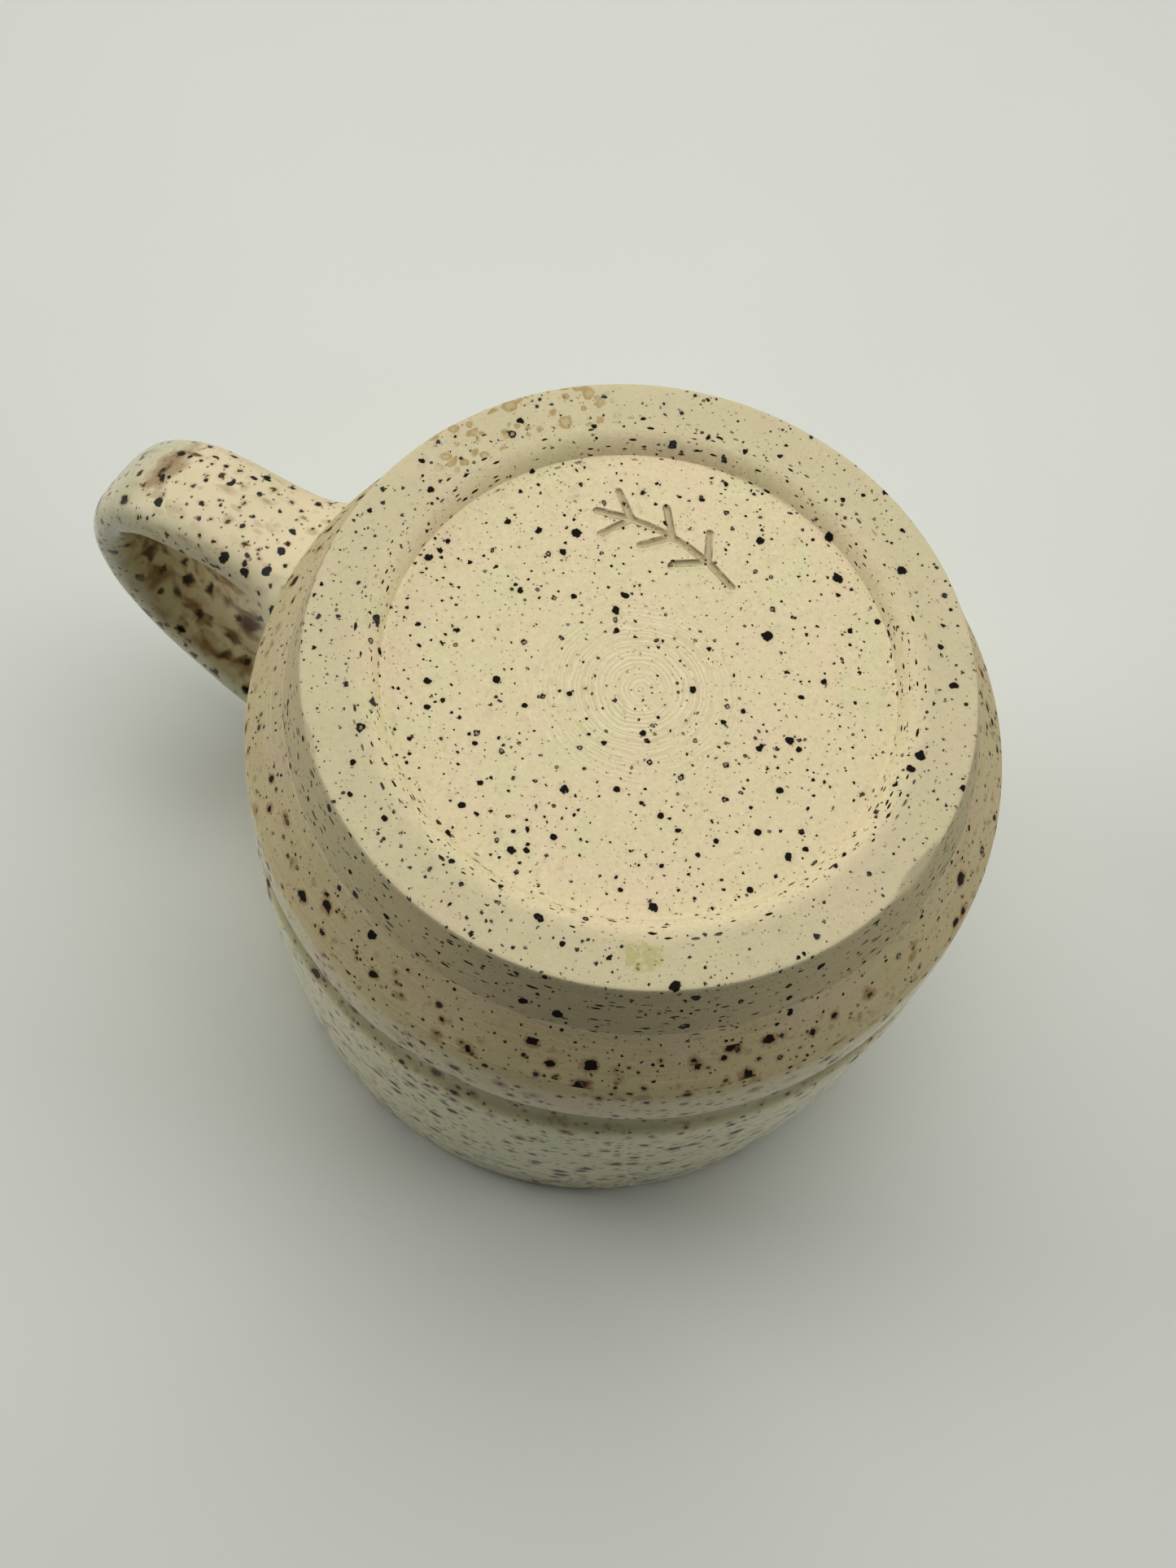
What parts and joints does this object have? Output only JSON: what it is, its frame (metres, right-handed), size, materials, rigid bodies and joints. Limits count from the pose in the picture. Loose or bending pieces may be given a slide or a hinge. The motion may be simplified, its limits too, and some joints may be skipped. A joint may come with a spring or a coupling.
{
  "type": "stoneware mug",
  "caption": "Hand-thrown speckled stoneware mug with a pulled strap handle and a bare trimmed foot, kept upside down standing on its rim.",
  "frame": {"origin": "on the turning axis of the mug, in the plane of its rim (the mount rim). The mug is kept upside down, standing on its rim, as it stands on the table.", "axes": "+Z from the rim to the foot, so the foot faces up; -X towards the handle; the handle lies in the XZ plane. Turn by 180 degrees about X to use it upright."},
  "size_m": [0.1325, 0.097, 0.08],
  "materials": {
    "bare_stoneware": "bare fired clay, matte, iron specks, fine turning lines",
    "handle_stoneware": "bare fired clay under the glaze",
    "speckled_glaze": "glossy cream-green glaze with brown and black iron specks",
    "liner_glaze": "glossy cream glaze, fewer specks",
    "handle_glaze": "satin cream glaze with large brown specks and runs"
  },
  "bodies": {
    "root": {"thrown_body": "bare_stoneware", "pulled_handle": "handle_stoneware", "foot_side_joint": "handle_stoneware", "rim_side_joint": "handle_stoneware", "outer_glaze": "speckled_glaze", "rim_glaze": "speckled_glaze", "liner_glaze": "liner_glaze", "handle_glaze": "handle_glaze"}
  },
  "joints": []
}
